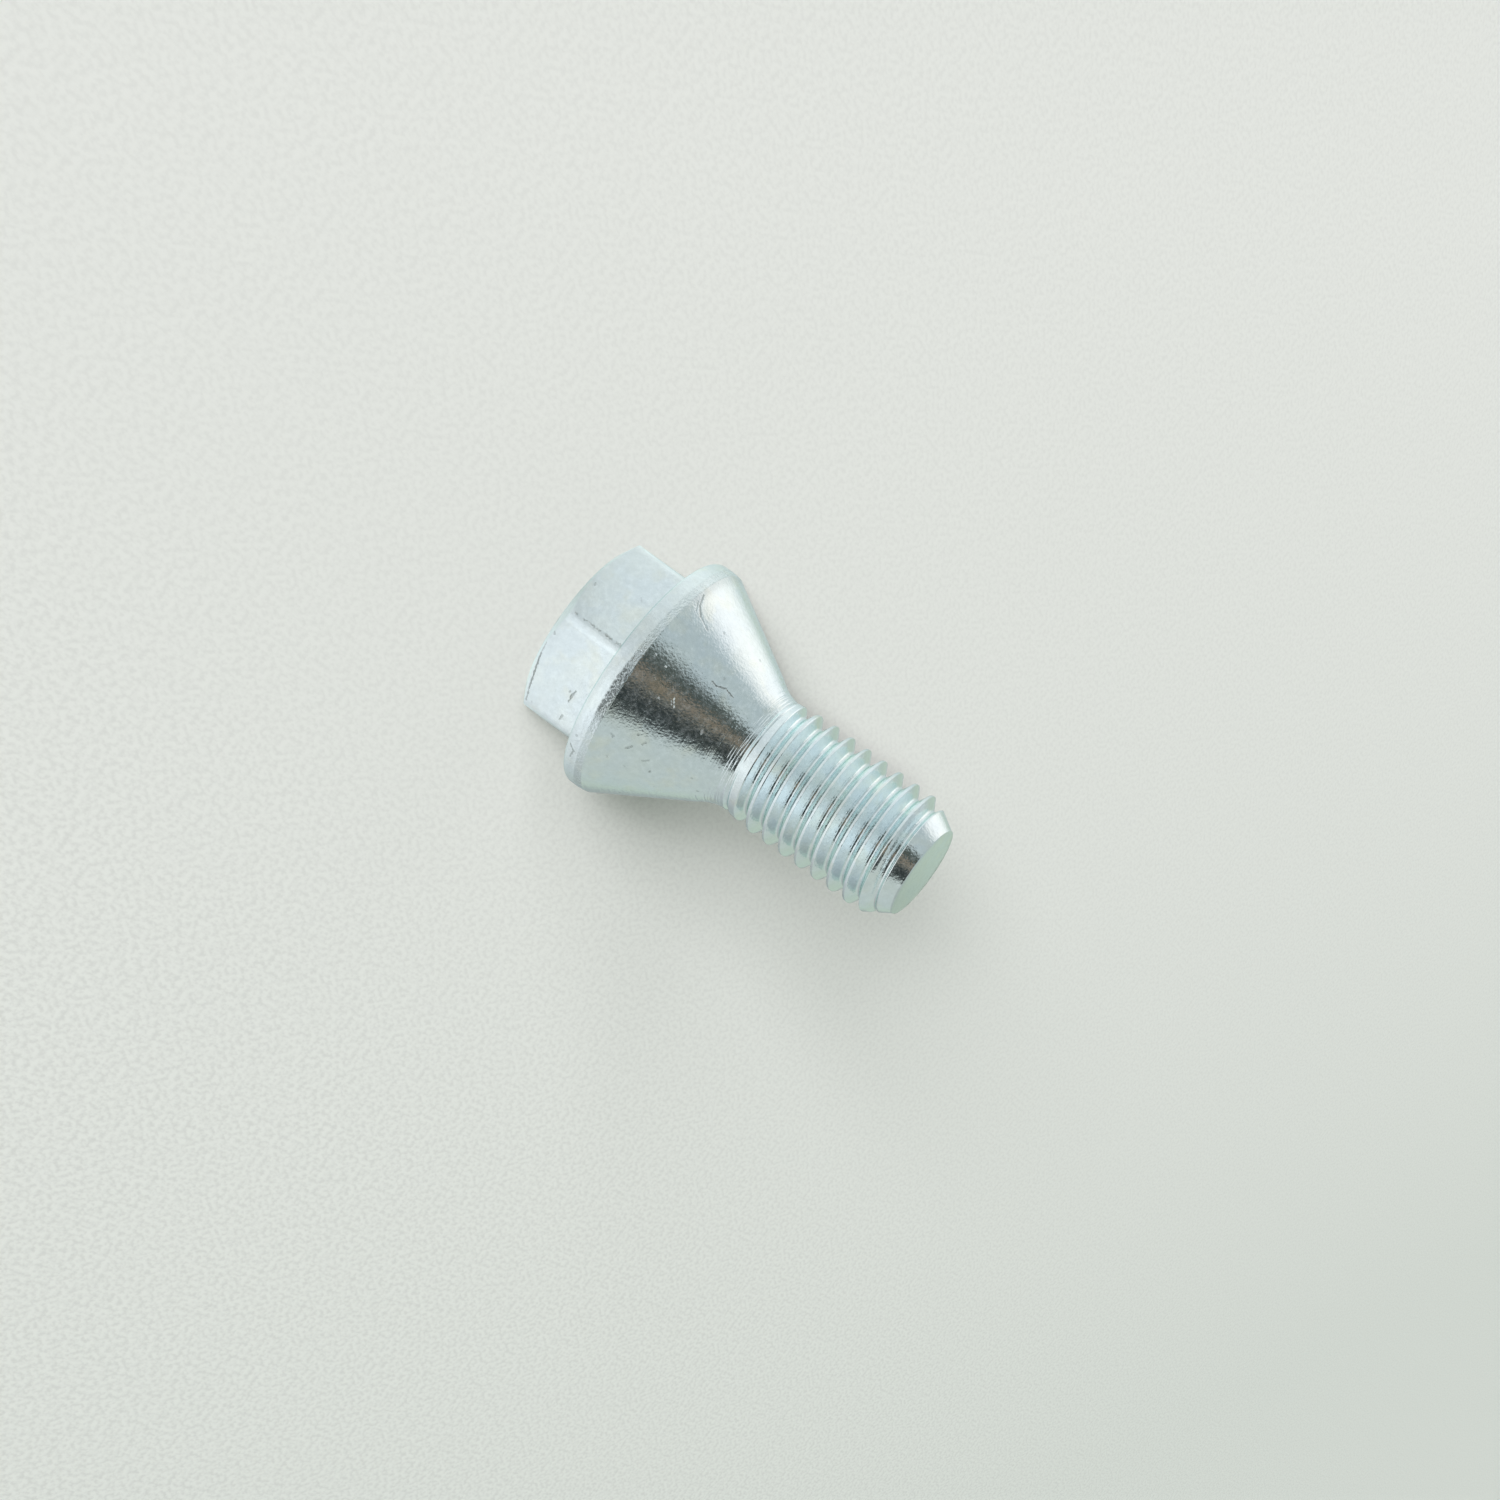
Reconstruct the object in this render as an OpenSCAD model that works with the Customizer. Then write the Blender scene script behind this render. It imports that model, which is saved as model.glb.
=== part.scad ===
// Wheel bolt with a conical seat, forged and rolled from one piece of steel.
// It stands on its head: the end face of the hexagon is on z = 0 and the
// thread points up along +Z.

/* [Hexagon] */
// Width across the flats of the hexagon
across_flats = 17; // [15:0.5:18]
// Diameter that the six corners are rounded to
corner_d = 19.4; // [18:0.1:20]
// Height of the hexagon from its end face to the collar
hex_h = 6.7; // [5:0.1:9]
// Diameter of the flat end face inside the crown chamfer
crown_d = 15.8; // [13:0.1:16.5]
// Angle between the crown chamfer and the end face
crown_angle = 32; // [15:1:45]

/* [Collar] */
// Largest diameter of the collar
collar_d = 23; // [22.8:0.1:26]
// Height of the collar from the hexagon to the end of its straight rim
collar_h = 1.5; // [1:0.1:3]
// Radius of the round back edge of the collar
collar_round = 0.8; // [0.4:0.1:0.9]
// Height of the land that tapers from the rim to the seat
land_h = 0.77; // [0.4:0.01:1.5]

/* [Seat] */
// Diameter of the seat at its large end
seat_d = 22.8; // [20:0.1:22.9]
// Included angle of the conical seat
seat_angle = 60; // [50:1:70]
// Diameter of the seat at its small end
seat_end_d = 13.2; // [12:0.1:18]
// Included angle of the turned relief between seat and neck
relief_angle = 70; // [55:1:80]
// Radius of the fillet where the relief runs into the neck
neck_fillet = 1; // [0.5:0.1:3]

/* [Shank] */
// Diameter of the plain neck under the seat
neck_d = 11; // [10.6:0.05:11.4]
// Length of the shank from the neck's fillet to the tip
shank_length = 18.22; // [14:0.01:40]
// Length of the plain neck before the thread starts to run in
neck_h = 0.57; // [0.3:0.01:3]

/* [Thread] */
// Major diameter of the right-hand thread
thread_d = 11.8; // [11.6:0.05:12]
// Pitch of the thread
pitch = 1.75; // [1:0.25:1.75]
// Angle between the two flanks of the groove
flank_angle = 60; // [55:1:60]
// Height over which the crests rise to the full diameter at the neck
crest_rise_h = 3.1; // [0.5:0.1:6]
// Turns over which the groove runs out at the neck
runout_turns = 1; // [0.5:0.25:2]
// Direction in which the groove starts at the neck
thread_start = 158; // [0:1:359]

/* [Tip] */
// Diameter of the flat face at the tip
tip_d = 8.6; // [6:0.1:9.5]
// Height of the chamfer at the tip
tip_chamfer_h = 2.6; // [0.6:0.1:3.5]

/* [Hidden] */

round_fn = 96;
steps_per_turn = 32;
eps = 0.01;

// Radii
corner_r = corner_d / 2;
crown_r = crown_d / 2;
collar_r = collar_d / 2;
seat_r = seat_d / 2;
seat_end_r = seat_end_d / 2;
neck_r = neck_d / 2;
thread_r = thread_d / 2;
tip_r = tip_d / 2;

// Heights above the end face of the head, from the collar up to the tip
rim_z = hex_h + collar_h;
seat_z = rim_z + land_h;
relief_z = seat_z + (seat_r - seat_end_r) / tan(seat_angle / 2);
fillet_back = neck_fillet * tan(relief_angle / 4);
neck_z = relief_z + (seat_end_r - neck_r) / tan(relief_angle / 2) + fillet_back;
thread_z = neck_z + neck_h;
tip_z = neck_z + shank_length;

// Groove of the thread, measured from the pitch line outwards.
// The root is 0.6134 pitch below the crest, as a rolled thread's is.
groove_depth = 0.6134 * pitch;
root_r = thread_r - groove_depth;
pitch_line_depth = 0.3248 * pitch;
crest_land = 0.1 * pitch;
crest_round = 0.07 * pitch;
root_round = 0.075 * pitch;

// Half the width of the straight-flanked groove at a depth below the crest
function groove_half_width(depth) = pitch / 4 + (pitch_line_depth - depth) * tan(flank_angle / 2);

// The outline crosses the crest radius at half_top and ends a little outside
// it, where two neighbouring turns still keep clear of each other.
half_flank = groove_half_width(crest_round);
half_top = (pitch - crest_land) / 2;
half_outer = pitch / 2 - crest_land / 4;
outer_r = thread_r + crest_round * (half_outer - half_top) / (half_top - half_flank);
half_root = groove_half_width(groove_depth - root_round);

// Right half of the groove as [radius, height] from the root outwards
half_groove = [
    [root_r, half_root * 0.45],
    [root_r + root_round, half_root],
    [thread_r - crest_round, half_flank],
    [outer_r, half_outer]
];
groove = concat(
    [for (i = [len(half_groove) - 1:-1:0]) [half_groove[i].x, -half_groove[i].y]],
    half_groove
);

// Rounds the corner b between a and c with an arc of radius r
function arc_corner(a, b, c, r, n = 12) =
    let (
        ab = (a - b) / norm(a - b),
        cb = (c - b) / norm(c - b),
        half = acos(ab * cb) / 2,
        mid = (ab + cb) / norm(ab + cb),
        centre = b + mid * r / sin(half),
        from = b + ab * r / tan(half) - centre,
        to = b + cb * r / tan(half) - centre,
        a0 = atan2(from.y, from.x),
        turn = atan2(from.x * to.y - from.y * to.x, from * to)
    )
    [for (i = [0:n]) centre + r * [cos(a0 + turn * i / n), sin(a0 + turn * i / n)]];

// Hexagon with turned corners and a chamfered crown on its end face
module hexagon() {
    height = hex_h + eps;
    intersection() {
        rotate([0, 0, 30])
            cylinder(h = height, d = across_flats / cos(30), $fn = 6);
        cylinder(h = height, r = corner_r, $fn = round_fn);
        cylinder(h = height, r1 = crown_r, r2 = crown_r + height / tan(crown_angle), $fn = round_fn);
    }
}

// Half section of collar, seat, neck, shank and tip, turned about the axis
module turned_blank() {
    rotate_extrude($fn = round_fn)
        polygon(concat(
            [[0, hex_h]],
            arc_corner([0, hex_h], [collar_r, hex_h], [collar_r, rim_z], collar_round),
            [[collar_r, rim_z], [seat_r, seat_z], [seat_end_r, relief_z]],
            arc_corner([seat_end_r, relief_z], [neck_r, neck_z - fillet_back], [neck_r, tip_z], neck_fillet),
            [[neck_r, thread_z], [thread_r, thread_z + crest_rise_h]],
            [[thread_r, tip_z - tip_chamfer_h], [tip_r, tip_z], [0, tip_z]]
        ));
}

// Helical groove that is cut out of the shank, running out at the neck
module thread_groove() {
    first_z = thread_z - pitch / 4;
    count = ceil((tip_z + pitch - first_z) / pitch * steps_per_turn);
    runout_steps = runout_turns * steps_per_turn;
    sides = len(groove);
    function lift(i) = (neck_r - root_r) * max(0, 1 - i / runout_steps);
    points = [
        for (i = [0:count], p = groove)
            let (a = thread_start + 360 * i / steps_per_turn, r = p.x + lift(i))
            [r * cos(a), r * sin(a), first_z + pitch * i / steps_per_turn + p.y]
    ];
    function corner(i, j) = i * sides + j % sides;
    walls = [
        for (i = [0:count - 1], j = [0:sides - 1]) each [
            [corner(i, j), corner(i + 1, j), corner(i, j + 1)],
            [corner(i, j + 1), corner(i + 1, j), corner(i + 1, j + 1)]
        ]
    ];
    first_cap = [for (j = [0:sides - 1]) corner(0, j)];
    last_cap = [for (j = [sides - 1:-1:0]) corner(count, j)];
    polyhedron(points, concat([first_cap], walls, [last_cap]), convexity = 20);
}

module wheel_bolt() {
    color([0.78, 0.82, 0.83])
        difference() {
            union() {
                hexagon();
                turned_blank();
            }
            thread_groove();
        }
}

wheel_bolt();
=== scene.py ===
import math

import bmesh
import bpy
from mathutils import Matrix, Vector


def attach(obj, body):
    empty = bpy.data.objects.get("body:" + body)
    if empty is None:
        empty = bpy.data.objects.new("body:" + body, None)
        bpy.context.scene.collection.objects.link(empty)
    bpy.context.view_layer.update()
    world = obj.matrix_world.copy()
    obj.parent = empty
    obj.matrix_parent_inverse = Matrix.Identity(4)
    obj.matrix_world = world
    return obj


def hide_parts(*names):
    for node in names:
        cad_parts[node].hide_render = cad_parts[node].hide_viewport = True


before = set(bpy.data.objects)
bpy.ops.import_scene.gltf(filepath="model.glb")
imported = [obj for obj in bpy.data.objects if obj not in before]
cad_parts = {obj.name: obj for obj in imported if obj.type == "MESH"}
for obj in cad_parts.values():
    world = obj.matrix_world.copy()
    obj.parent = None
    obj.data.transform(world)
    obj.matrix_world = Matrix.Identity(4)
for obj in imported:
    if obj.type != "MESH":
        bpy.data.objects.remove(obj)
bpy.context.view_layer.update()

MM = 0.001
COLUMNS = 288

half_flats = 8.5
corner_radius = 9.64
corner_blend = 0.025
crown_radius = 7.9
crown_angle = 32
hexagon_height = 6.7
collar_radius = 11.5


def arc_corner(a, b, c, radius, parts):
    """Points of the arc that rounds the corner b between a and c."""
    a, b, c = Vector(a), Vector(b), Vector(c)
    to_a, to_c = (a - b).normalized(), (c - b).normalized()
    half = to_a.angle(to_c) / 2
    centre = b + (to_a + to_c).normalized() * radius / math.sin(half)
    start = b + to_a * radius / math.tan(half) - centre
    end = b + to_c * radius / math.tan(half) - centre
    turn = math.atan2(start.x * end.y - start.y * end.x, start.dot(end))
    arc = []
    for i in range(parts + 1):
        t = turn * i / parts
        x = start.x * math.cos(t) - start.y * math.sin(t)
        y = start.x * math.sin(t) + start.y * math.cos(t)
        arc.append((centre.x + x, centre.y + y))
    return arc


def straight(a, b, parts):
    """Points between a and b, without either end."""
    return [
        (a[0] + (b[0] - a[0]) * i / parts, a[1] + (b[1] - a[1]) * i / parts)
        for i in range(1, parts)
    ]


def carried_on(section, arc, parts):
    """The section with a straight stretch to an arc added, and the arc."""
    return section + straight(section[-1], arc[0], parts) + arc


def head_section(outline):
    """Half section of the hexagon where its wall stands at that radius."""
    middle = (outline, hexagon_height / 2)
    crown = (outline, (outline - crown_radius) * math.tan(math.radians(crown_angle)))
    foot = (outline, hexagon_height)
    face_edge = arc_corner((0, 0), (crown_radius, 0), crown, radius=0.25, parts=3)
    wall_edge = arc_corner((crown_radius, 0), crown, middle, radius=0.22, parts=5)
    wall_foot = arc_corner(middle, foot, (collar_radius, hexagon_height), radius=0.2, parts=3)
    section = [(0, 0)]
    # each arc, and the parts of the straight stretch before it
    for arc, parts in ((face_edge, 5), (wall_edge, 3), (wall_foot, 26)):
        section = carried_on(section, arc, parts)
    return section


bolt = bmesh.new()
station = bolt.verts.layers.int.new("station")

# Collar and conical seat that centre the wheel, with the turned relief and the
# fillet that run into the neck. Forged with the head, then turned on a lathe.
collar_thickness = 1.5
land_height = 0.77
seat_radius = 11.4
seat_end_radius = 6.6
seat_angle = 60
relief_angle = 70
neck_radius = 5.5
neck_top = (5.545, 19.72)
fillet_margin = 0.03


def narrowed(start, radius, angle):
    """Where a cone of that full angle comes down to a radius, to the micron."""
    height = (start[0] - radius) / math.tan(math.radians(angle / 2))
    return (radius, round(start[1] + height, 3))


collar_back = (collar_radius, hexagon_height)
rim_edge = (collar_radius, hexagon_height + collar_thickness)
seat_edge = (seat_radius, rim_edge[1] + land_height)
seat_end = narrowed(seat_edge, seat_end_radius, seat_angle)
relief_end = narrowed(seat_end, neck_radius, relief_angle)
straight_up = (neck_radius, relief_end[1] + 1)
corner_foot = (corner_radius, hexagon_height)
back = arc_corner(corner_foot, collar_back, rim_edge, radius=0.8, parts=10)
land = arc_corner(collar_back, rim_edge, seat_edge, radius=0.6, parts=2)
rim = arc_corner(rim_edge, seat_edge, seat_end, radius=0.4, parts=5)
shoulder = arc_corner(seat_edge, seat_end, relief_end, radius=3, parts=4)
fillet = arc_corner(seat_end, relief_end, straight_up, radius=5, parts=24)
fillet = [point for point in fillet if point[1] < neck_top[1] - fillet_margin]

section = head_section(corner_radius)
head_points = len(section)
section += straight(corner_foot, back[0], 3) + back
for arc, parts in ((land, 4), (rim, 4), (shoulder, 26), (fillet, 6)):
    section = carried_on(section, arc, parts)
section.append(neck_top)

points = [bolt.verts.new((r * MM, 0, z * MM)) for r, z in section]
for i, point in enumerate(points):
    point[station] = i
edges = [bolt.edges.new(pair) for pair in zip(points, points[1:])]
bmesh.ops.spin(
    bolt, geom=points + edges, cent=(0, 0, 0), axis=(0, 0, 1),
    angle=math.tau, steps=COLUMNS, use_merge=True,
)
bmesh.ops.remove_doubles(bolt, verts=bolt.verts[:], dist=1e-7)


def hexagon_outline(angle):
    """Radius of the hexagon's wall in a direction, with its corners turned down."""
    off = (angle + math.pi / 6) % (math.pi / 3) - math.pi / 6
    flat = half_flats / math.cos(off)
    both = math.exp(-flat / corner_blend) + math.exp(-corner_radius / corner_blend)
    return -corner_blend * math.log(both)


pressed = {}
for point in bolt.verts:
    if 0 < point[station] < head_points:
        angle = math.atan2(point.co.y, point.co.x)
        column = round(angle / math.tau * COLUMNS) % COLUMNS
        if column not in pressed:
            pressed[column] = head_section(hexagon_outline(angle))
        radius, z = pressed[column][point[station]]
        point.co = (radius * MM * math.cos(angle), radius * MM * math.sin(angle), z * MM)

# Rolled right-hand thread, M12 by 1.75. It runs out at the neck, and the
# chamfer at the tip cuts through its first turns.
pitch = 1.75
thread_radius = 5.9
root_radius = 4.874
root_round = 0.30
pitch_line_depth = 0.3248 * pitch
flank_angle = 60
thread_height = 19.740
thread_start = math.radians(158)
runout_turns = 0.9
runout_delay = 0.25
crest_rise_height = 3.1
tip_height = 37.390
tip_radius = 4.3
chamfer_height = 2.6
tip_round = 0.12
seam_height = 0.06
core_radius = 1
STEPS = 160

flank_slope = math.tan(math.radians(flank_angle / 2))
crest_rise = (thread_radius - neck_top[0]) / crest_rise_height
chamfer_slope = (thread_radius - tip_radius) / chamfer_height
groove_start = thread_height - pitch / 4
flank_foot = pitch / 4 + (pitch_line_depth - (thread_radius - root_radius)) * flank_slope
flank_head = pitch / 4 + pitch_line_depth * flank_slope


def half_groove(edge_round, parts):
    """Half section of the groove, from its root to a crest with that edge."""
    foot, head = (root_radius, flank_foot), (thread_radius, flank_head)
    root = arc_corner((root_radius, -flank_foot), foot, head, root_round, parts=6)
    edge = arc_corner(foot, head, (thread_radius, pitch), edge_round, parts=3)
    # only the part of the rounded root on this side of the groove's middle
    root = [point for point in root if point[1] > 0.01]
    return carried_on([(root_radius, 0)] + root, edge, parts)


faces_head = half_groove(edge_round=0.10, parts=4)
faces_tip = half_groove(edge_round=0.015, parts=8)
one_turn = (
    faces_head
    + [(thread_radius, pitch / 2)]
    + [(r, pitch - z) for r, z in reversed(faces_tip)]
)

shank = bmesh.new()
turns_back, turns = 1.5, 13
lowest = groove_start - turns_back * pitch
points = [shank.verts.new((r * MM, 0, (lowest + z) * MM)) for r, z in one_turn]
edges = [shank.edges.new(pair) for pair in zip(points, points[1:])]
bmesh.ops.rotate(
    shank, verts=points, cent=(0, 0, 0),
    matrix=Matrix.Rotation(thread_start - math.tau * turns_back, 3, "Z"),
)
bmesh.ops.spin(
    shank, geom=points + edges, cent=(0, 0, 0), axis=(0, 0, 1),
    dvec=(0, 0, pitch * MM / STEPS), angle=math.tau, steps=STEPS,
)
first_turn = shank.verts[:] + shank.edges[:] + shank.faces[:]
for turn in range(1, turns):
    copied = bmesh.ops.duplicate(shank, geom=first_turn)["geom"]
    points = [g for g in copied if isinstance(g, bmesh.types.BMVert)]
    bmesh.ops.translate(shank, verts=points, vec=(0, 0, turn * pitch * MM))
bmesh.ops.remove_doubles(shank, verts=shank.verts[:], dist=1e-6)

for point in shank.verts:
    radius, z = math.hypot(point.co.x, point.co.y) / MM, point.co.z / MM
    angle = math.atan2(point.co.y, point.co.x)
    # turns since the start of the groove, at the middle of the groove nearby
    part = ((angle - thread_start) / math.tau) % 1
    passed = round((z - groove_start) / pitch - part) + part
    started = min(1, max(0, (passed - runout_delay) / runout_turns))
    filled = (neck_radius - root_radius) * (1 - started ** 2 * (3 - 2 * started))
    blank = min(thread_radius, neck_top[0] + max(0, z - thread_height) * crest_rise)
    chamfer = tip_radius + (tip_height - z) * chamfer_slope
    wanted = max(min(radius + filled, blank, chamfer), core_radius)
    point.co.x *= wanted / radius
    point.co.y *= wanted / radius


def cut(z, above):
    """Cuts the shank level and takes away what is above or below the cut."""
    bmesh.ops.bisect_plane(
        shank, geom=shank.verts[:] + shank.edges[:] + shank.faces[:], dist=1e-8,
        plane_co=(0, 0, z * MM), plane_no=(0, 0, 1),
        clear_outer=above, clear_inner=not above,
    )


def open_edges(mesh, z, reach):
    """The mesh's open edges near a height."""
    return [
        e for e in mesh.edges
        if e.is_boundary and abs(e.verts[0].co.z / MM - z) < reach
    ]


cut(neck_top[1] + seam_height, above=False)
cut(tip_height - tip_round, above=True)
bmesh.ops.remove_doubles(shank, verts=shank.verts[:], dist=4e-6)
loop = open_edges(shank, tip_height, reach=1)

# the tip's edge is rounded by two rings, and rings inside them close the end face
edge_ring = (tip_radius + 0.06, tip_height - 0.035)
face_rings = [(radius, tip_height) for radius in (tip_radius - 0.02, 3.4, 2.2, 1.0, 0)]
for radius, z in [edge_ring] + face_rings:
    made = bmesh.ops.extrude_edge_only(shank, edges=loop)["geom"]
    ring = [g for g in made if isinstance(g, bmesh.types.BMVert)]
    loop = [g for g in made if isinstance(g, bmesh.types.BMEdge) and g.is_boundary]
    for point in ring:
        share = radius * MM / math.hypot(point.co.x, point.co.y)
        point.co = (point.co.x * share, point.co.y * share, z * MM)
bmesh.ops.remove_doubles(shank, verts=ring, dist=1e-6)

spare = bpy.data.meshes.new("shank")
shank.to_mesh(spare)
shank.free()
bolt.from_mesh(spare)
bpy.data.meshes.remove(spare)
bmesh.ops.bridge_loops(bolt, edges=open_edges(bolt, neck_top[1], reach=0.3))
bmesh.ops.recalc_face_normals(bolt, faces=bolt.faces[:])
for face in bolt.faces:
    face.smooth = True

mesh = bpy.data.meshes.new("plated_bolt")
bolt.to_mesh(mesh)
bolt.free()
plated_bolt = bpy.data.objects.new("plated_bolt", mesh)
bpy.context.scene.collection.objects.link(plated_bolt)

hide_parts("wheel_bolt")
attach(plated_bolt, "root")

# Bright zinc plating with a bluish cast, put on in a bath after the steel was
# turned and rolled. It keeps the lathe's rings on the cone and in the neck, and
# has the nicks and pits that bolts get from each other in a bin.
zinc = bpy.data.materials.new("zinc_plating")
zinc.use_nodes = True


def feed(socket, value):
    """Gives a socket a number, a triple or another node's output."""
    if isinstance(value, (int, float)):
        socket.default_value = value
    elif isinstance(value, tuple):
        socket.default_value = value if socket.type == "VECTOR" else (*value, 1)
    elif value is not None:
        links.new(value, socket)


def sums(kind, a, b=None, c=None):
    """A math node fed by numbers or by other nodes."""
    made = nodes.new("ShaderNodeMath")
    made.operation = kind
    for socket, value in zip(made.inputs, (a, b, c)):
        feed(socket, value)
    return made.outputs[0]


def times(a, b):
    """Two numbers or masks multiplied."""
    return sums("MULTIPLY", a, b)


def added(total, mask, amount):
    """A value with an amount added to it where the mask is one."""
    return sums("MULTIPLY_ADD", mask, amount, total)


def moved(kind, a, b=None, scale=None):
    """A vector math node fed by triples or by other nodes."""
    made = nodes.new("ShaderNodeVectorMath")
    made.operation = kind
    feed(made.inputs[0], a)
    feed(made.inputs[1], b)
    if scale is not None:
        feed(made.inputs["Scale"], scale)
    return made.outputs["Value" if kind in ("DOT_PRODUCT", "DISTANCE", "LENGTH") else "Vector"]


def parted(vector):
    """The x, y and z of a vector."""
    made = nodes.new("ShaderNodeSeparateXYZ")
    links.new(vector, made.inputs[0])
    return made.outputs


def fade(value, start, end, low=0.0, high=1.0):
    """A smooth step from low at start to high at end."""
    made = nodes.new("ShaderNodeMapRange")
    made.interpolation_type = "SMOOTHSTEP"
    feed(made.inputs["Value"], value)
    for name, number in (("From Min", start), ("From Max", end), ("To Min", low), ("To Max", high)):
        feed(made.inputs[name], number)
    return made.outputs["Result"]


def band(value, start, full, fall, end):
    """A smooth mask that is one from full to fall, and nothing outside start and end."""
    return times(fade(value, start, full), fade(value, end, fall))


def tint(mask, under, over):
    """One colour over another through a mask."""
    made = nodes.new("ShaderNodeMix")
    made.data_type = "RGBA"
    feed(made.inputs["Factor"], mask)
    feed(made.inputs["A"], under)
    feed(made.inputs["B"], over)
    return made.outputs["Result"]


def cloud(place, scale, detail=2.0, rough=0.5):
    """Soft noise from 0 to 1 with so many waves to the place's unit."""
    made = nodes.new("ShaderNodeTexNoise")
    feed(made.inputs["Vector"], place)
    feed(made.inputs["Scale"], scale)
    feed(made.inputs["Detail"], detail)
    feed(made.inputs["Roughness"], rough)
    return made.outputs["Fac"]


# one nick or scratch between two points on the surface, as a mask
nick = bpy.data.node_groups.new("nick", "ShaderNodeTree")
for name, kind in (("Position", "Vector"), ("From", "Vector"), ("To", "Vector"), ("Width", "Float")):
    nick.interface.new_socket(name, in_out="INPUT", socket_type="NodeSocket" + kind)
nick.interface.new_socket("Mask", in_out="OUTPUT", socket_type="NodeSocketFloat")
nodes, links = nick.nodes, nick.links
given = nodes.new("NodeGroupInput").outputs
length = moved("SUBTRACT", given["To"], given["From"])
offset = moved("SUBTRACT", given["Position"], given["From"])
along = sums("DIVIDE", moved("DOT_PRODUCT", offset, length), moved("DOT_PRODUCT", length, length))
along = sums("MINIMUM", sums("MAXIMUM", along, 0.0), 1.0)
away = moved("DISTANCE", offset, moved("SCALE", length, scale=along))
ragged = sums("MULTIPLY_ADD", cloud(given["Position"], 5.0), 0.24, -0.12)
away = sums("ADD", away, ragged)
result = nodes.new("NodeGroupOutput")
links.new(fade(away, given["Width"], times(given["Width"], 0.25)), result.inputs["Mask"])

# places on the bolt in millimetres
nodes, links = zinc.node_tree.nodes, zinc.node_tree.links
place = moved("SCALE", nodes.new("ShaderNodeTexCoord").outputs["Object"], scale=1000.0)
x, y, z = parted(place)

# rings that the tool leaves, fine on the cone and coarse where it meets the neck
coarse = band(z, 16.6, 17.8, 19.9, 20.3)
fine = band(z, 8.8, 9.2, 16.6, 17.6)
ring_depth = added(times(fine, 0.015), coarse, 0.07)
rings = cloud(moved("MULTIPLY", place, (0.35, 0.35, 6.0)), 1.0, detail=1.0)
relief = times(rings, ring_depth)

# ridge and step that the thread rollers push up at the first turn
relief = added(relief, band(z, 19.76, 19.98, 20.05, 20.22), 0.045)
relief = sums("ADD", relief, fade(z, 20.62, 20.80, low=0.015, high=0.0))

# grain of the plating everywhere, and the rough land at the collar's edge
relief = added(relief, cloud(place, 4.2), 0.025)
land_mask = band(z, 8.05, 8.25, 8.9, 9.05)
speckle = cloud(place, 4.5, detail=3.0, rough=0.6)
front = times(band(x, 0.1, 1.2, 4.8, 6.4), fade(y, -6.5, -8.5))
relief = added(relief, speckle, times(added(0.05, front, 0.11), land_mask))

# forged skin of the hexagon, a little wavy
forged = fade(z, 7.4, 6.9)
relief = added(relief, times(cloud(place, 0.45), forged), 0.12)

# small pits scattered over the bolt
cells = nodes.new("ShaderNodeTexVoronoi")
links.new(place, cells.inputs["Vector"])
cells.inputs["Scale"].default_value = 0.62
chosen = nodes.new("ShaderNodeSeparateColor")
links.new(cells.outputs["Color"], chosen.inputs["Color"])
pit_size = fade(chosen.outputs["Red"], 0.55, 1.0, low=0.0, high=0.13)
pits = fade(cells.outputs["Distance"], pit_size, times(pit_size, 0.4))
pits = times(pits, fade(z, 20.0, 19.0))

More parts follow.
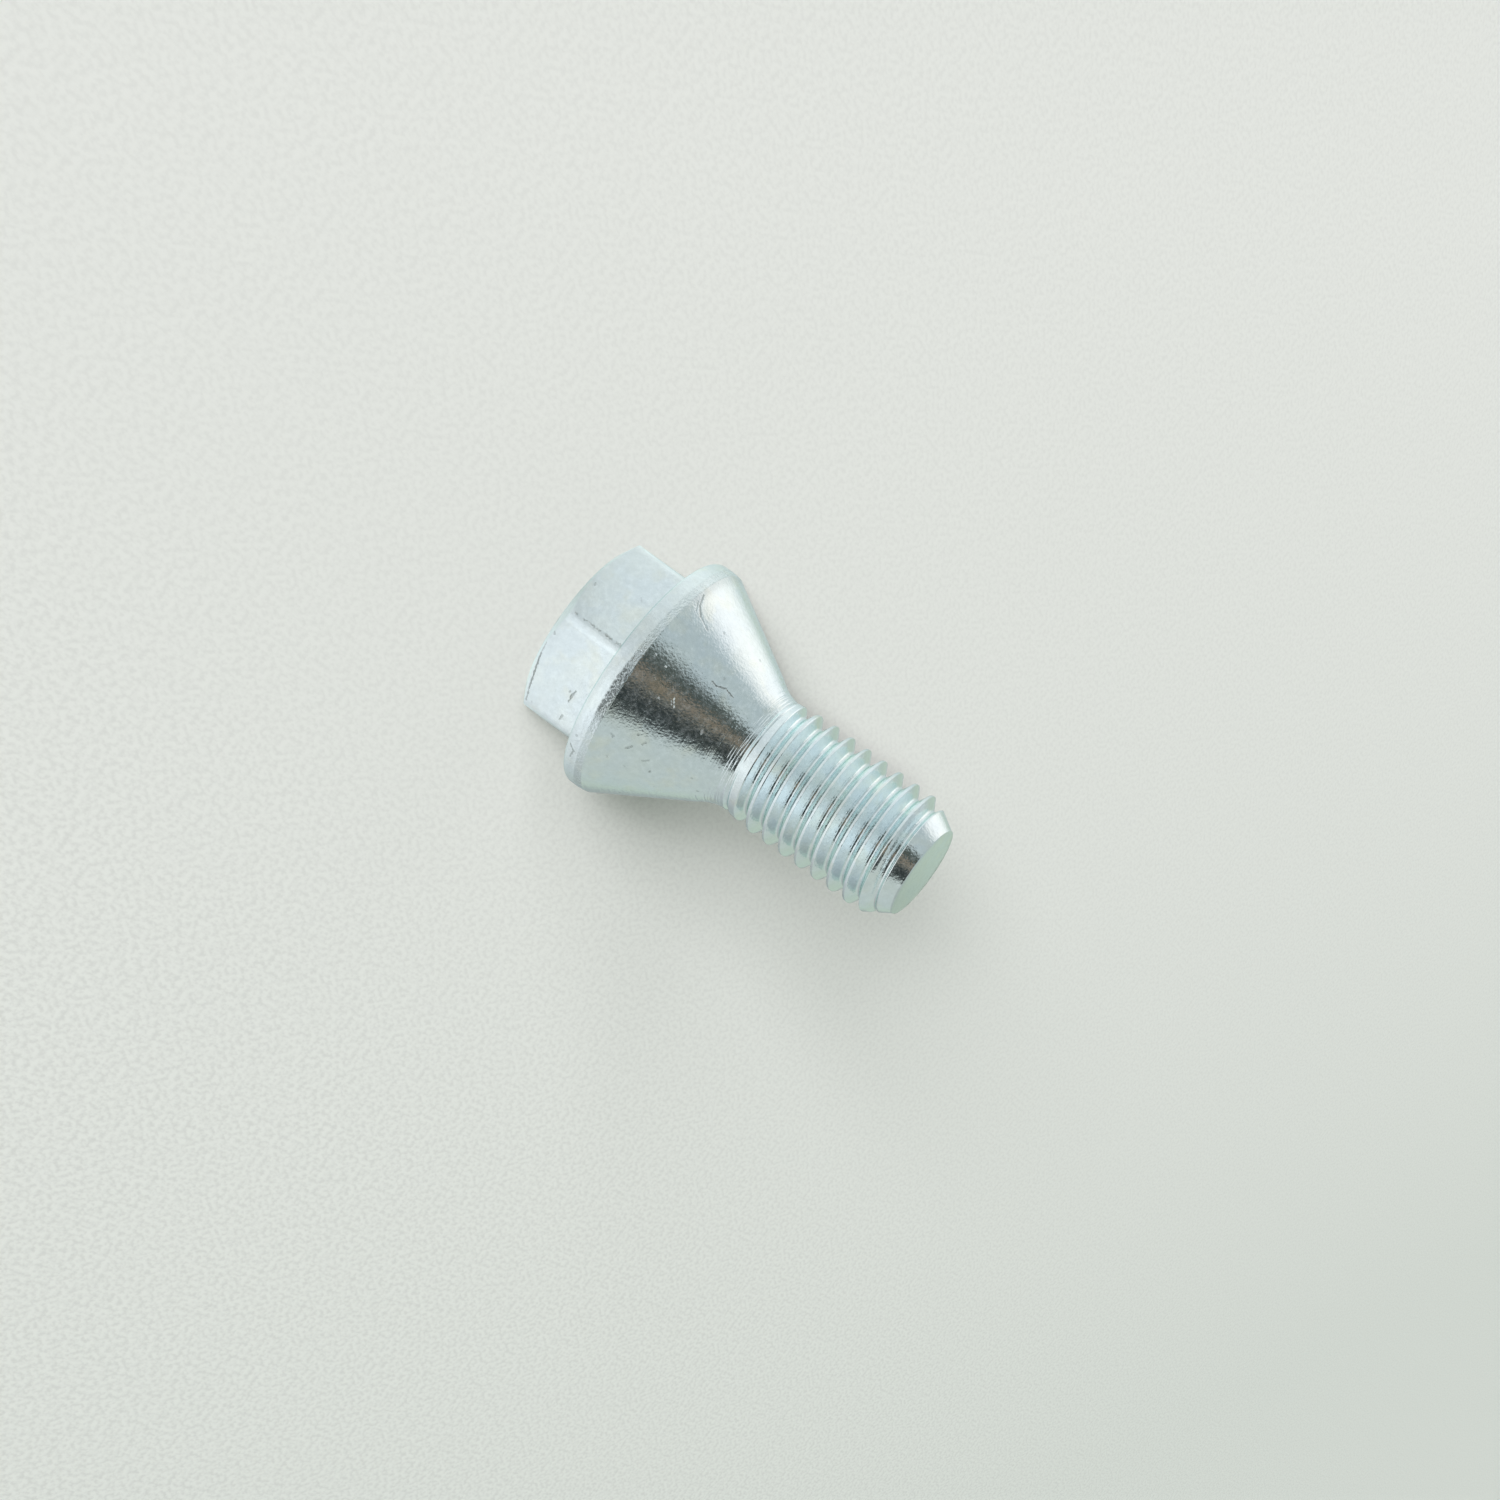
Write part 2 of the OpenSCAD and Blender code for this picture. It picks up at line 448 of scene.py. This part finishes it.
# nicks and scratches where the photographed bolt has them:
# from, to, width, how dark
marks = (
    ((5.00, -6.92, 4.85), (6.05, -6.31, 4.73), 0.11, 0.55),
    ((5.40, -6.70, 4.80), (5.60, -6.58, 4.70), 0.18, 0.55),
    ((5.30, -6.75, 4.42), (5.38, -6.70, 4.38), 0.15, 0.35),
    ((7.34, -5.56, 4.82), (7.76, -5.32, 4.76), 0.14, 0.35),
    ((-4.77, -7.05, 4.70), (-4.50, -7.20, 4.97), 0.13, 0.20),
    ((-3.49, -7.78, 0.80), (-3.30, -7.88, 0.85), 0.13, 0.35),
    ((2.00, -8.66, 0.62), (2.15, -8.58, 0.75), 0.15, 0.40),
    ((3.10, -8.02, 0.42), (4.12, -7.43, 0.46), 0.10, 0.40),
    ((4.12, -7.43, 0.46), (5.99, -6.35, 0.80), 0.11, 0.65),
    ((5.99, -6.35, 0.80), (7.01, -5.75, 0.98), 0.10, 0.60),
    ((7.01, -5.75, 0.98), (8.11, -5.11, 1.25), 0.10, 0.45),
    ((6.28, -8.57, 10.30), (6.20, -8.77, 10.09), 0.20, 0.35),
    ((6.42, -7.55, 11.55), (5.99, -7.61, 11.91), 0.15, 0.40),
    ((6.47, -6.28, 13.09), (6.13, -6.26, 13.52), 0.17, 0.35),
    ((6.83, -5.16, 13.88), (6.88, -5.10, 13.93), 0.17, 0.60),
    ((5.39, -7.62, 12.53), (5.05, -7.72, 12.73), 0.13, 0.30),
    ((4.82, -8.40, 11.92), (4.90, -8.36, 11.98), 0.16, 0.30),
    ((7.75, -5.82, 11.92), (7.80, -5.76, 12.00), 0.16, 0.25),
    ((7.95, -6.93, 10.43), (8.00, -6.86, 10.50), 0.16, 0.25),
    ((9.80, -0.59, 11.70), (9.78, -0.50, 11.80), 0.18, 0.40),
    ((8.91, -7.17, 7.31), (9.30, -6.80, 7.80), 0.12, 0.55),
    ((9.30, -6.80, 7.80), (9.80, -6.00, 7.60), 0.12, 0.45),
    ((5.13, -4.38, 17.03), (5.18, -4.30, 17.08), 0.15, 0.35),
    ((5.77, -2.60, 17.67), (5.80, -2.52, 17.72), 0.16, 0.35),
    ((-8.07, -7.86, 9.20), (-7.10, -8.43, 9.62), 0.13, 0.50),
    ((-7.10, -8.43, 9.62), (-6.41, -8.50, 10.26), 0.16, 0.55),
    ((-6.41, -8.50, 10.26), (-5.82, -8.16, 11.33), 0.14, 0.35),
    ((-7.36, -8.47, 9.27), (-6.57, -8.77, 9.71), 0.12, 0.35),
    ((-4.99, -7.43, 13.18), (-5.63, -6.65, 13.60), 0.09, 0.15),
    ((-2.48, -7.93, 14.30), (-2.36, -7.69, 14.77), 0.10, 0.45),
    ((-2.36, -7.69, 14.77), (-2.68, -7.13, 15.51), 0.11, 0.60),
    ((-2.68, -7.13, 15.51), (-2.44, -6.72, 16.30), 0.10, 0.55),
)
# places that are only scuffed, which show pale where the metal mirrors the dark
scuffs = (
    ((-1.11, -10.26, 10.80), (-1.12, -10.20, 10.90), 0.10, 0.7),
    ((-1.51, -10.92, 9.60), (-1.46, -10.88, 9.68), 0.10, 0.5),
    ((0.62, -9.14, 12.80), (1.30, -8.82, 13.24), 0.07, 0.8),
    ((0.80, -9.20, 12.66), (1.25, -8.96, 12.98), 0.06, 0.5),
    ((1.35, -9.68, 11.77), (1.40, -9.62, 11.90), 0.09, 0.5),
    ((1.35, -7.21, 16.01), (1.60, -7.10, 16.07), 0.18, 0.35),
    ((-0.20, -10.40, 10.30), (0.10, -10.30, 10.55), 0.10, 0.3),
)
# burr along the hexagon's near corner, where the turned corner meets the flat
burrs = (
    ((-0.37, -9.6, 0.85), (-0.37, -9.6, 6.40), 0.17, 1.0),
)


def struck(places):
    """All the nicks of one kind as one mask."""
    mask = None
    for start, stop, width, depth in places:
        made = nodes.new("ShaderNodeGroup")
        made.node_tree = nick
        for name, value in (("Position", place), ("From", start), ("To", stop), ("Width", width)):
            feed(made.inputs[name], value)
        shown = times(made.outputs["Mask"], depth)
        mask = shown if mask is None else sums("MAXIMUM", mask, shown)
    return mask


dark, scuffed, burr = struck(marks), struck(scuffs), struck(burrs)
wear = sums("MAXIMUM", times(pits, 0.3), dark)
relief = added(relief, wear, -0.04)
relief = added(relief, scuffed, 0.02)
broken = fade(cloud(moved("ADD", place, (5.0, 2.0, 9.0)), 2.3), 0.40, 0.60)
burr = times(burr, broken)
relief = added(relief, burr, 0.05)

bump = nodes.new("ShaderNodeBump")
bump.inputs["Distance"].default_value = MM
links.new(relief, bump.inputs["Height"])

# clouds of blue, green and yellow that the bath's last dip leaves
green_cast, blue_cast = (0.775, 0.855, 0.86), (0.755, 0.845, 0.88)
yellow_cast = (0.81, 0.86, 0.80)
burr_grey, worn_grey = (0.34, 0.36, 0.34), (0.20, 0.22, 0.21)
blue = fade(cloud(place, 0.30), 0.35, 0.65)
warm = fade(cloud(moved("ADD", place, (31.0, 7.0, 3.0)), 0.42, detail=3.0), 0.52, 0.72)
colour = tint(blue, green_cast, blue_cast)
colour = tint(times(warm, 0.6), colour, yellow_cast)
colour = tint(times(burr, 0.55), colour, burr_grey)
colour = tint(times(wear, 0.85), colour, worn_grey)

# fine mottle, a painted highlight on the one turned corner that faces the front,
# painted shade on the end face, the rough land darkened on its front side as a
# painted dark reflection, the dull rim, and a painted highlight on the blank under
# the first turn
mottle_and_painted_light = fade(cloud(place, 1.7, detail=4.0, rough=0.65), 0.25, 0.75, low=0.955, high=1.03)
# painted highlight: only the turned corner that faces the front is made brighter
corner = times(band(x, -0.15, 0.02, 0.55, 0.80), fade(y, -9.30, -9.45))
mottle_and_painted_light = added(mottle_and_painted_light, times(corner, forged), 0.11)
# painted shade on the end face, darker toward one side
painted_shade_end_face = times(fade(z, 37.20, 37.36), fade(x, -3.6, 3.8))
mottle_and_painted_light = added(mottle_and_painted_light, painted_shade_end_face, -0.24)
# the rough land's speckles, darkened on its front side only: a painted dark reflection on rough land
rough_land_painted_dark = times(times(land_mask, fade(speckle, 0.38, 0.56)), front)
mottle_and_painted_light = added(mottle_and_painted_light, rough_land_painted_dark, -0.60)
dull_rim = times(band(z, 8.8, 8.95, 9.1, 9.9), fade(x, -6.6, -7.6))
mottle_and_painted_light = added(mottle_and_painted_light, dull_rim, -0.12)
# painted highlight on the blank under the first turn, on one side
painted_highlight_blank = times(band(z, 19.72, 19.85, 21.2, 21.7), fade(x, 1.8, 0.4))
mottle_and_painted_light = added(mottle_and_painted_light, painted_highlight_blank, 0.09)
colour = moved("SCALE", colour, scale=mottle_and_painted_light)

# gloss, highest on the rolled thread and lowest where the skin is worn
rough = fade(cloud(place, 1.5, detail=4.0, rough=0.6), 0.32, 0.72, low=0.105, high=0.205)
rough = added(rough, dull_rim, 0.15)
rough = added(rough, fade(z, 20.4, 21.2), -0.05)
rough = added(rough, land_mask, 0.10)
rough = added(rough, forged, 0.05)
rough = added(rough, sums("MAXIMUM", wear, scuffed), 0.35)

# thin patches of dried film and the scuffs are a little less metallic
film = cloud(moved("ADD", place, (3.0, 8.0, 1.0)), 2.4, detail=4.0, rough=0.7)
film = fade(film, 0.44, 0.72, low=0.0, high=0.024)
film = sums("MAXIMUM", film, times(scuffed, 0.13))

metal = nodes["Principled BSDF"]
metal.inputs["Specular Tint"].default_value = (0.90, 1.0, 0.965, 1)
links.new(sums("SUBTRACT", 1.0, film), metal.inputs["Metallic"])
links.new(colour, metal.inputs["Base Color"])
links.new(rough, metal.inputs["Roughness"])
links.new(bump.outputs["Normal"], metal.inputs["Normal"])
mesh.materials.append(zinc)

# Pale table top that the bolt stands on, painted and slightly grainy. What the
# metal reflects of it is a painted reflection: for those rays the table glows,
# brighter or darker by direction from the bolt, with painted shade and painted
# highlights in it. Distances over the table are in metres.
bpy.ops.mesh.primitive_plane_add(size=30)
table = bpy.context.object
table.name = "table"
paint = bpy.data.materials.new("table_paint")
paint.use_nodes = True
nodes, links = paint.node_tree.nodes, paint.node_tree.links
spot = nodes.new("ShaderNodeTexCoord").outputs["Object"]
x, y = parted(spot)[:2]

# painted shade: the paint darkens to one side, as the light on the table falls off, and its grain
# gets coarser that way
pale_paint, painted_falloff_shade = (0.850, 0.876, 0.830), (0.706, 0.755, 0.700)
at_bolt, to_side, to_back = 0.19, 3.93, 1.00
far = sums("MULTIPLY_ADD", x, to_side, sums("MULTIPLY_ADD", y, to_back, at_bolt))
far = sums("MINIMUM", sums("MAXIMUM", far, -0.5), 1.5)
paint_and_painted_falloff = tint(far, pale_paint, painted_falloff_shade)
pebbles = cloud(moved("MULTIPLY", spot, (2600.0, 600.0, 2600.0)), 1.0, detail=2.5)
leather = fade(pebbles, 0.28, 0.64, low=-0.040, high=0.029)
coarser = fade(x, 0.0, 0.06, low=1.0, high=2.1)
paint_and_painted_falloff = moved("SCALE", paint_and_painted_falloff, scale=sums("MULTIPLY_ADD", leather, coarser, 1.0))
surface = nodes["Principled BSDF"]
surface.inputs["Roughness"].default_value = 0.7
surface.inputs["Specular IOR Level"].default_value = 0.2
links.new(paint_and_painted_falloff, surface.inputs["Base Color"])


def along_range(value, low, high):
    """How far a value is on its way from low to high, from 0 to 1."""
    made = nodes.new("ShaderNodeMapRange")
    links.new(value, made.inputs["Value"])
    made.inputs["From Min"].default_value = low
    made.inputs["From Max"].default_value = high
    return made.outputs["Result"]


def ramp(value, stops):
    """Colours at their places from 0 to 1, blended in between."""
    made = nodes.new("ShaderNodeValToRGB")
    links.new(value, made.inputs["Fac"])
    while len(made.color_ramp.elements) < len(stops):
        made.color_ramp.elements.new(0.5)
    for stop, (position, shade) in zip(made.color_ramp.elements, stops):
        stop.position = position
        stop.color = (*shade, 1)
    return made.outputs["Color"]


def direction(x, y):
    """Degrees about the upright axis, from the front to the right."""
    return sums("DEGREES", sums("ARCTAN2", x, times(y, -1.0)))


def painted_reflection_by_direction(turn, levels):
    """Painted reflection: how bright the table glows for the metal, over the directions from the
    bolt.
    """
    stops = []
    for angle, level in levels:
        cool = 1.045 if angle < 0 else 1.02
        stops.append(((angle + 180) / 360, (level, level * cool, level * cool)))
    return ramp(turn, stops)


# painted reflection: how bright the table glows as the metal reflects it, by direction
# from the bolt, with its darker stretches as painted shade
painted_far_levels = (
    (-180, 0.52), (-136, 0.745), (-100, 0.94), (-83, 0.87), (-61, 0.83), (-42, 0.78),
    (-24, 0.69), (-6, 0.67), (6, 0.75), (20, 0.88), (38, 1.02), (50, 0.91), (67, 0.79),
    (90, 0.68), (117, 0.49), (150, 0.41),
)
painted_near_levels = (
    (-180, 0.50), (-136, 0.75), (-108, 0.88), (-92, 1.00), (-76, 0.93), (-59, 0.83),
    (-40, 0.78), (-28, 0.69), (-15, 0.66), (2, 0.80), (20, 0.88), (35, 0.96), (51, 0.96),
    (65, 0.86), (80, 0.80), (98, 0.76), (120, 0.62), (150, 0.46),
)
around = direction(x, y)
turn = along_range(around, -180, 180)
reach = moved("LENGTH", spot)
near = fade(reach, 0.050, 0.036)
painted_reflection = tint(near, painted_reflection_by_direction(turn, painted_far_levels), painted_reflection_by_direction(turn, painted_near_levels))
# painted highlight in the reflection: a belt of the table a few centimetres off, to one side, glows
# brighter
painted_reflection_belt = times(band(reach, 0.025, 0.029, 0.038, 0.045), band(around, 5, 30, 70, 95))


def undimmed():
    """One, or nearly nothing for light that a matt surface has scattered before."""
    path = nodes.new("ShaderNodeLightPath")
    return added(1.0, sums("MINIMUM", path.outputs["Diffuse Depth"], 1.0), -0.96)


# the painted reflection shows only to rays that the metal reflects; other rays see the paint with
# its shadow
painted_reflection_glow = nodes.new("ShaderNodeEmission")
links.new(painted_reflection, painted_reflection_glow.inputs["Color"])
links.new(times(added(1.0, painted_reflection_belt, 0.12), undimmed()), painted_reflection_glow.inputs["Strength"])
blend = nodes.new("ShaderNodeMixShader")
links.new(nodes.new("ShaderNodeLightPath").outputs["Is Glossy Ray"], blend.inputs["Fac"])
links.new(surface.outputs["BSDF"], blend.inputs[1])
links.new(painted_reflection_glow.outputs["Emission"], blend.inputs[2])
links.new(blend.outputs["Shader"], nodes["Material Output"].inputs["Surface"])
table.data.materials.append(paint)

# Soft studio light: a pale room with a window to one side and a dark gap
# overhead, and four low lamps that give the table its soft shadow.
world = bpy.data.worlds.new("studio")
bpy.context.scene.world = world
world.use_nodes = True
nodes, links = world.node_tree.nodes, world.node_tree.links
look = nodes.new("ShaderNodeTexCoord").outputs["Generated"]
x, y, z = parted(look)
around = direction(x, y)
rise = sums("DEGREES", sums("ARCSINE", z))

# pale walls, greener low down behind the bolt, and the window's soft round glow
left_wall, right_wall, back_wall = (0.50, 0.555, 0.565), (0.58, 0.62, 0.59), (0.56, 0.605, 0.535)
window_light = (1.22, 1.18, 1.16)
room = tint(fade(around, -90, 90), left_wall, right_wall)
behind = fade(moved("DOT_PRODUCT", look, (0.0, 1.0, 0.0)), 0.75, 0.9)
room = tint(times(behind, fade(rise, 35, 20)), room, back_wall)
window = tuple(Vector((-0.860, 0.419, 0.292)).normalized())
glow_edge, glow_middle = math.cos(math.radians(39)), math.cos(math.radians(10))
glow = along_range(moved("DOT_PRODUCT", look, window), glow_edge, glow_middle)
room = tint(glow, room, window_light)

# the dark gap, with a warm strip in it, that gets wider overhead
widening = times(sums("MAXIMUM", sums("SUBTRACT", rise, 57.0), 0.0), 2.5)
left_side = fade(sums("MULTIPLY_ADD", rise, 0.3, around), -24, -9)
right_side = fade(sums("SUBTRACT", around, widening), 63, 49)
dark_gap = times(times(left_side, right_side), band(rise, -1, 4, 84, 90))
shades = ramp(along_range(around, -40, 60), (
    (0.00, (0.112, 0.127, 0.118)),
    (0.37, (0.066, 0.079, 0.070)),
    (0.41, (0.275, 0.217, 0.162)),
    (0.50, (0.240, 0.195, 0.150)),
    (0.54, (0.130, 0.132, 0.112)),
    (0.62, (0.120, 0.120, 0.108)),
    (0.66, (0.036, 0.043, 0.042)),
    (1.00, (0.046, 0.055, 0.052)),
))
sky = nodes["Background"]
links.new(tint(dark_gap, room, shades), sky.inputs["Color"])
links.new(undimmed(), sky.inputs["Strength"])

# lamps: name, power, width, direction and height in degrees, and colour
plain, cool = (1.0, 0.954, 0.996), (0.932, 1.0, 0.937)
lamps = (
    ("front_lamp", 4.20, 2, -88.1, 13.4, cool),
    ("low_lamp", 5.45, 7, -91.9, 8.3, plain),
    ("small_lamp", 3.05, 4, -89.2, 9.9, plain),
    ("broad_lamp", 2.65, 19, -98.2, 11.1, plain),
)
for name, power, width, azimuth, elevation, shade in lamps:
    lamp = bpy.data.lights.new(name, "SUN")
    lamp.angle = math.radians(width)
    lamp.energy = power
    lamp.color = shade
    hung = bpy.data.objects.new(name, lamp)
    bpy.context.scene.collection.objects.link(hung)
    hung.visible_glossy = False
    across, up = math.radians(azimuth), math.radians(elevation)
    hung.location = (math.cos(up) * math.cos(across), math.cos(up) * math.sin(across), math.sin(up))
    hung.rotation_euler = hung.location.to_track_quat("Z", "Y").to_euler()

# Camera at the photograph's angle, a little above the bolt's side, and turned
# so that the bolt lies across the picture from upper left to lower right.
swing, tilt, roll = math.radians(1.4), math.radians(13.3), math.radians(35.9)
aim_side, aim_height = 0.156, 18.70
distance = 0.6
half_image, focal_length = 750, 6930

level = math.cos(tilt)
back_axis = Vector((math.sin(swing) * level, -math.cos(swing) * level, math.sin(tilt)))
side_axis = Vector((math.cos(swing), math.sin(swing), 0))
top_axis = back_axis.cross(side_axis)
right_axis = math.cos(roll) * top_axis - math.sin(roll) * side_axis
up_axis = -math.sin(roll) * top_axis - math.cos(roll) * side_axis
aim = side_axis * aim_side * MM + Vector((0, 0, aim_height * MM))
lens = bpy.data.cameras.new("camera")
lens.angle = 2 * math.atan(half_image / focal_length)
lens.clip_start = 0.01
lens.clip_end = 100
camera = bpy.data.objects.new("camera", lens)
bpy.context.scene.collection.objects.link(camera)
turned = Matrix((right_axis, up_axis, back_axis)).transposed().to_4x4()
camera.matrix_world = Matrix.Translation(aim + back_axis * distance) @ turned
bpy.context.scene.camera = camera
bpy.context.scene.view_settings.view_transform = "Standard"
